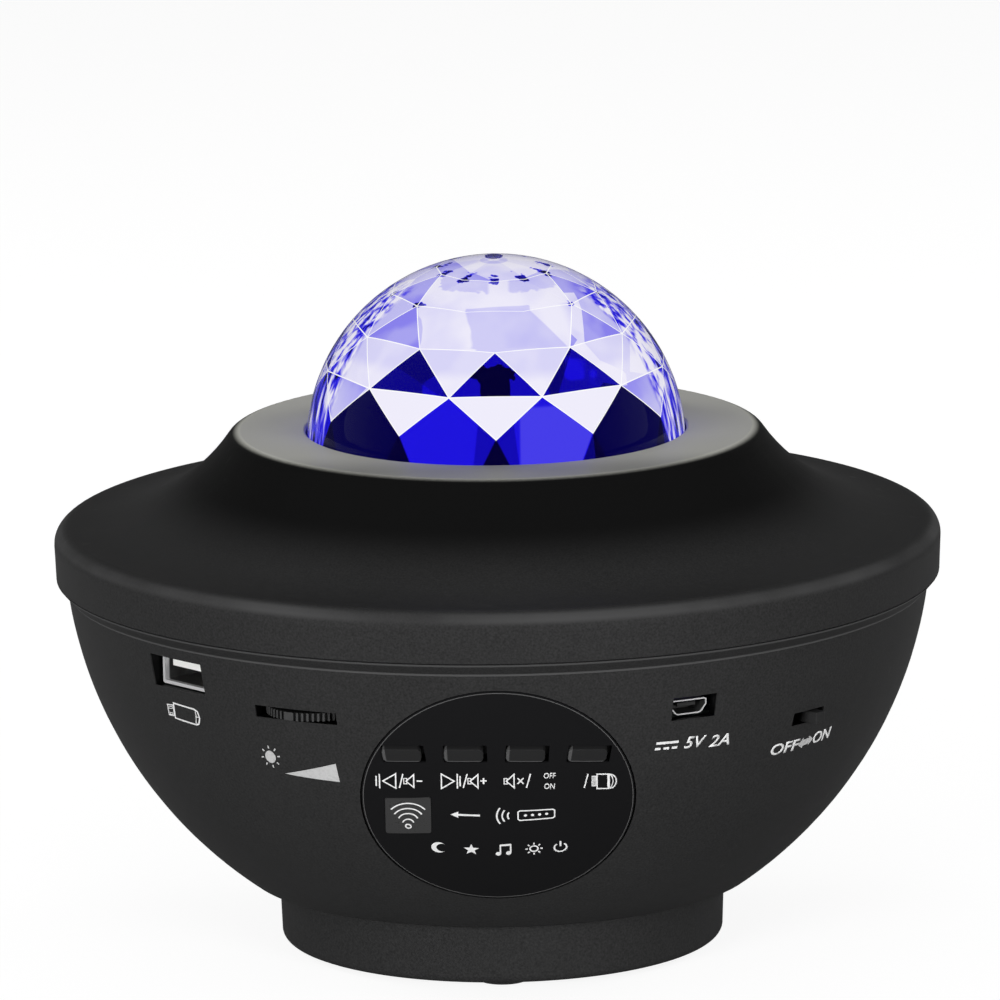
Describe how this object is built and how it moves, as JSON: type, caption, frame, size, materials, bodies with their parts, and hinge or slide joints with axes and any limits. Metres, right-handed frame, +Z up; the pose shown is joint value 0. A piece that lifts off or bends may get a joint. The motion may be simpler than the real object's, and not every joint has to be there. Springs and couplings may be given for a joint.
{
  "type": "star night light projector",
  "caption": "Round star night light: bowl housing on a short foot, flared cover, clear faceted dome, front buttons, dimmer wheel, sockets, slide switch and a speaker underneath.",
  "frame": {"origin": "on the floor below the dome's centre", "axes": "+Z up, the front with the round control panel faces -Y, +X to the right as seen from the front"},
  "size_m": [0.1686, 0.1685, 0.1326],
  "materials": {
    "housing": "glossy",
    "lower_housing": "satin",
    "crystal": "clear",
    "label": "satin",
    "buttons": "satin",
    "window": "dark tinted",
    "wheel": "ribbed",
    "knob": "satin",
    "sheet_steel": "nickel plated",
    "contact_gold": "gold plated",
    "socket_insert": "moulded",
    "dark_insert": "moulded",
    "inner_plastic": "moulded",
    "lens": "clear",
    "rubber": "matte",
    "screw_steel": "zinc plated",
    "shaft_steel": "ground",
    "sink_aluminium": "anodised",
    "brass": "turned",
    "board": "lacquered fibreglass",
    "white_board": "white lacquer",
    "chip": "moulded",
    "capacitor": "sleeved can",
    "connector": "moulded",
    "emitter": "silicone",
    "magnet": "sintered",
    "cone": "pressed paper",
    "surround": "matte"
  },
  "bodies": {
    "projector": {"axle_clip": "shaft_steel", "axle_pin": "shaft_steel", "base_cover": "lower_housing", "base_screws": "screw_steel", "board_capacitors": "capacitor", "board_chips": "chip", "board_connectors": "connector", "board_screws": "screw_steel", "bowl_shell": "lower_housing", "button_board": "board", "control_label": "label", "cover_screws": "screw_steel", "crystal_dome": "crystal", "dome_ring": "inner_plastic", "dome_screws": "screw_steel", "heat_sink": "sink_aluminium", "holder_screws": "screw_steel", "ir_receiver": "chip", "ir_window": "window", "lamp_chassis": "inner_plastic", "laser_grating": "lens", "laser_holder": "inner_plastic", "laser_module": "brass", "led_board": "white_board", "led_emitters": "emitter", "led_lenses": "lens", "main_board": "board", "micro_usb_shell": "sheet_steel", "micro_usb_tongue": "dark_insert", "motor_can": "sheet_steel", "motor_gearbox": "inner_plastic", "motor_screws": "screw_steel", "panel_screws": "screw_steel", "port_screws": "screw_steel", "power_board": "board", "rubber_feet": "rubber", "short_screws": "screw_steel", "speaker_basket": "sheet_steel", "speaker_magnet": "magnet", "speaker_surround": "surround", "speaker_yoke": "shaft_steel", "switch_case": "sheet_steel", "tact_switches": "chip", "top_cover": "housing", "usb_a_contacts": "contact_gold", "usb_a_insulator": "socket_insert", "usb_a_shell": "sheet_steel", "usb_board": "board", "wheel_board": "board", "wheel_potentiometer": "chip"},
    "button_previous": {"button_previous": "buttons"},
    "button_play": {"button_play": "buttons"},
    "button_mute": {"button_mute": "buttons"},
    "button_source": {"button_source": "buttons"},
    "brightness_wheel": {"brightness_wheel": "wheel"},
    "switch_knob": {"switch_knob": "knob"},
    "ripple_disc": {"ripple_disc": "lens"},
    "drive_pinion": {"motor_pinion": "inner_plastic", "motor_shaft": "shaft_steel"},
    "speaker_cone": {"speaker_cone": "cone"}
  },
  "joints": [
    {"name": "press_previous", "type": "slide", "parent": "projector", "child": "button_previous", "axis": [0, 0.8838, 0.4679], "range_m": [0, 0.0005], "stiffness_N_per_m": 400},
    {"name": "press_play", "type": "slide", "parent": "projector", "child": "button_play", "axis": [0, 0.8838, 0.4679], "range_m": [0, 0.0005], "stiffness_N_per_m": 400},
    {"name": "press_mute", "type": "slide", "parent": "projector", "child": "button_mute", "axis": [0, 0.8838, 0.4679], "range_m": [0, 0.0005], "stiffness_N_per_m": 400},
    {"name": "press_source", "type": "slide", "parent": "projector", "child": "button_source", "axis": [0, 0.8838, 0.4679], "range_m": [0, 0.0005], "stiffness_N_per_m": 400},
    {"name": "turn_wheel", "type": "hinge", "parent": "projector", "child": "brightness_wheel", "pos_m": [-0.03412, -0.06363, 0.0599], "axis": [0, 0, 1], "range_deg": [-135, 135]},
    {"name": "slide_switch", "type": "slide", "parent": "projector", "child": "switch_knob", "axis": [0.682, 0.7314, 0], "range_m": [-0.0022, 0]},
    {"name": "spin_disc", "type": "hinge", "parent": "projector", "child": "ripple_disc", "pos_m": [0, 0, 0.077], "axis": [0, 0, 1], "continuous": true},
    {"name": "spin_pinion", "type": "hinge", "parent": "projector", "child": "drive_pinion", "pos_m": [0, 0.036, 0.077], "axis": [0, 0, 1], "continuous": true},
    {"name": "move_cone", "type": "slide", "parent": "projector", "child": "speaker_cone", "axis": [0, 0, 1], "range_m": [-0.0006, 0.0006], "stiffness_N_per_m": 1500, "deforming": ["speaker_surround"]}
  ],
  "couplings": [
    {"joint": "spin_pinion", "follows": "spin_disc", "ratio": -5}
  ]
}
